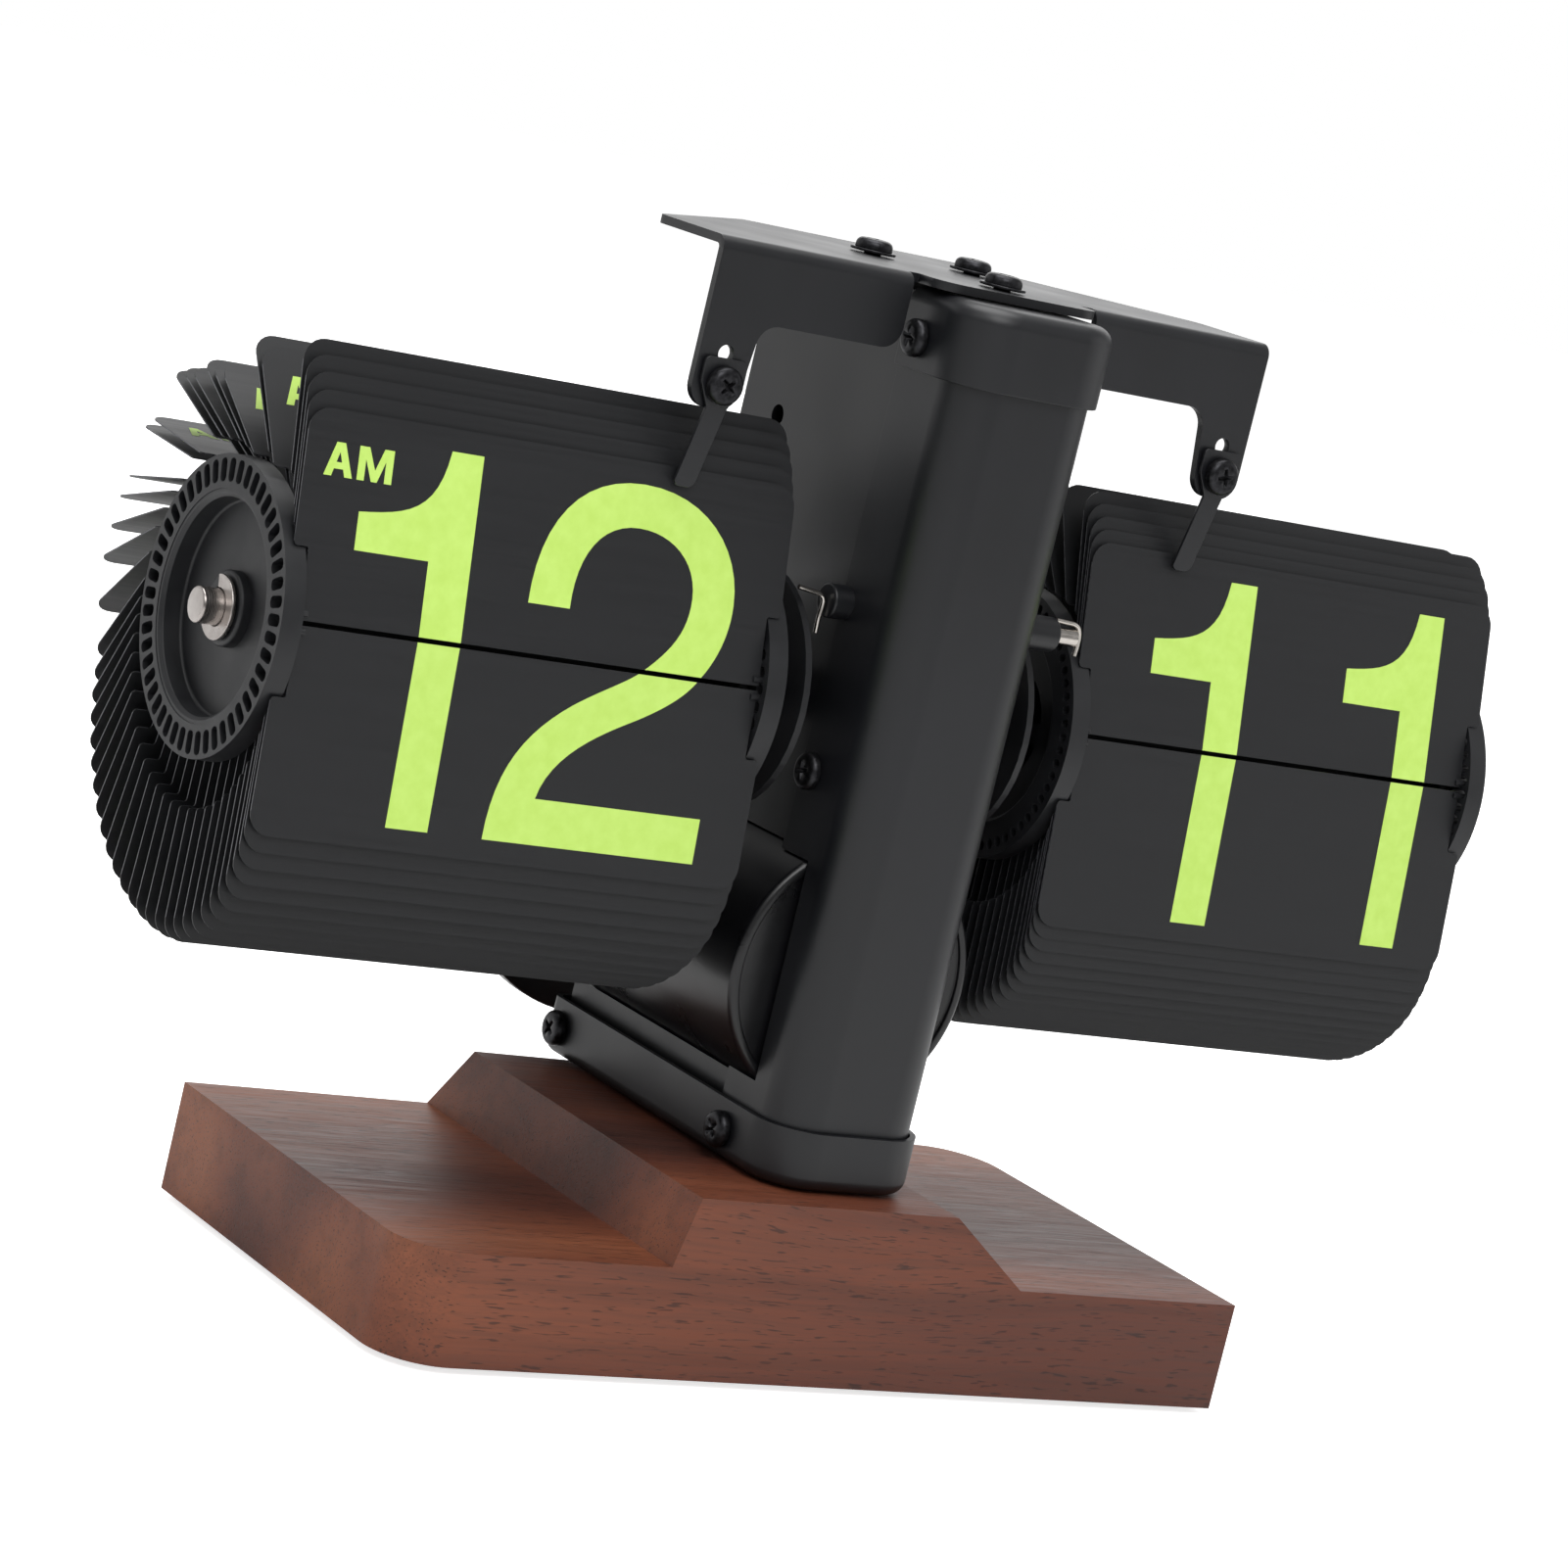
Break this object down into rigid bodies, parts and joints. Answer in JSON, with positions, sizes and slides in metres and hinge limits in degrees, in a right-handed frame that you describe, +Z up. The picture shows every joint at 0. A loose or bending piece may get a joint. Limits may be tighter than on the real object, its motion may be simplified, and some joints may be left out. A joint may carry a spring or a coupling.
{
  "type": "flip clock",
  "caption": "Desk flip clock: two drums of hinged number leaves on one axle, carried by a black sheet metal column that leans on a walnut plinth, with a round battery housing.",
  "frame": {"origin": "centre of the bounding box's footprint, on the surface that the foot pads rest on", "axes": "+X to the viewer's right along the axle, -Y towards the viewer, +Z up"},
  "size_m": [0.2036, 0.087, 0.1525],
  "materials": {
    "walnut": "oiled walnut, satin",
    "black_paint": "satin black powder coat on bent sheet steel",
    "black_screw": "black oxide steel",
    "black_plastic": "moulded, fine satin",
    "gloss_plastic": "moulded, glossy",
    "leaf_plastic": "thin satin film with printed lime numerals",
    "steel": "bright turned steel",
    "brass": "cut brass",
    "rubber": "soft grey pad",
    "cell_sleeve": "plain printed sleeve"
  },
  "bodies": {
    "stand": {"axle": "steel", "axle_clip_hour": "steel", "axle_clip_minute": "steel", "battery_cell": "cell_sleeve", "battery_housing": "gloss_plastic", "bracket_screw_front": "black_screw", "bracket_screw_left": "black_screw", "bracket_screw_right": "black_screw", "cap_screw_left": "black_screw", "cap_screw_right": "black_screw", "column_cover": "black_paint", "detent_spring_hour": "steel", "detent_spring_minute": "steel", "flank_screw_left": "black_screw", "flank_screw_right": "black_screw", "foot_front_left": "rubber", "foot_front_right": "rubber", "foot_rear_left": "rubber", "foot_rear_right": "rubber", "front_contact": "steel", "hour_leaf_pack": "leaf_plastic", "hour_page_upper": "leaf_plastic", "idler_arbor": "steel", "minute_leaf_pack": "leaf_plastic", "minute_page_upper": "leaf_plastic", "motor": "steel", "rear_cover": "black_paint", "shoe": "black_paint", "shoe_screw_front_left": "black_screw", "shoe_screw_front_right": "black_screw", "shoe_screw_rear_left": "black_screw", "shoe_screw_rear_right": "black_screw", "side_plate_left": "black_paint", "side_plate_right": "black_paint", "stop_screw_left": "black_screw", "stop_screw_right": "black_screw", "top_bracket": "black_paint", "top_cap": "black_paint", "wood_base": "walnut"},
    "minute_drum": {"minute_drum_core": "black_plastic", "minute_hub_collar": "black_plastic", "minute_sleeve": "black_plastic", "minute_wheel_inner": "black_plastic", "minute_wheel_outer": "black_plastic"},
    "hour_drum": {"hour_drum_core": "black_plastic", "hour_hub_collar": "black_plastic", "hour_sleeve": "black_plastic", "hour_wheel_inner": "black_plastic", "hour_wheel_outer": "black_plastic"},
    "idler": {"idler_gear": "brass"},
    "rotor": {"motor_pinion": "brass"},
    "hour_flap": {"hour_page_lower": "leaf_plastic"},
    "minute_flap": {"minute_page_lower": "leaf_plastic"},
    "hour_stop": {"flap_stop_hour": "black_paint"},
    "minute_stop": {"flap_stop_minute": "black_paint"},
    "closure": {"battery_closure": "gloss_plastic"}
  },
  "joints": [
    {"name": "minute_drum_spin", "type": "hinge", "parent": "stand", "child": "minute_drum", "pos_m": [0, -0.01125, 0.0902], "axis": [1, 0, 0], "continuous": true},
    {"name": "hour_drum_spin", "type": "hinge", "parent": "stand", "child": "hour_drum", "pos_m": [0, -0.01125, 0.0902], "axis": [1, 0, 0], "continuous": true},
    {"name": "idler_spin", "type": "hinge", "parent": "stand", "child": "idler", "pos_m": [0, -0.01125, 0.1097], "axis": [1, 0, 0], "continuous": true},
    {"name": "rotor_spin", "type": "hinge", "parent": "stand", "child": "rotor", "pos_m": [0, 0.00175, 0.0902], "axis": [1, 0, 0], "continuous": true},
    {"name": "hour_page_swing", "type": "hinge", "parent": "stand", "child": "hour_flap", "pos_m": [0, -0.0292, 0.09153], "axis": [-1, 0, 0], "range_deg": [0, 145]},
    {"name": "minute_page_swing", "type": "hinge", "parent": "stand", "child": "minute_flap", "pos_m": [0, -0.02918, 0.09177], "axis": [-1, 0, 0], "range_deg": [0, 145]},
    {"name": "hour_stop_slide", "type": "slide", "parent": "stand", "child": "hour_stop", "axis": [0, 0, 1], "range_m": [-0.001, 0.0008]},
    {"name": "minute_stop_slide", "type": "slide", "parent": "stand", "child": "minute_stop", "axis": [0, 0, 1], "range_m": [-0.001, 0.0008]},
    {"name": "closure_turn", "type": "hinge", "parent": "stand", "child": "closure", "pos_m": [0, 0.03785, 0.0545], "axis": [0, 1, 0], "range_deg": [0, 30]}
  ],
  "couplings": [
    {"joint": "hour_drum_spin", "follows": "minute_drum_spin", "ratio": 0.041667},
    {"joint": "idler_spin", "follows": "minute_drum_spin", "ratio": -0.25},
    {"joint": "rotor_spin", "follows": "minute_drum_spin", "ratio": -4}
  ]
}
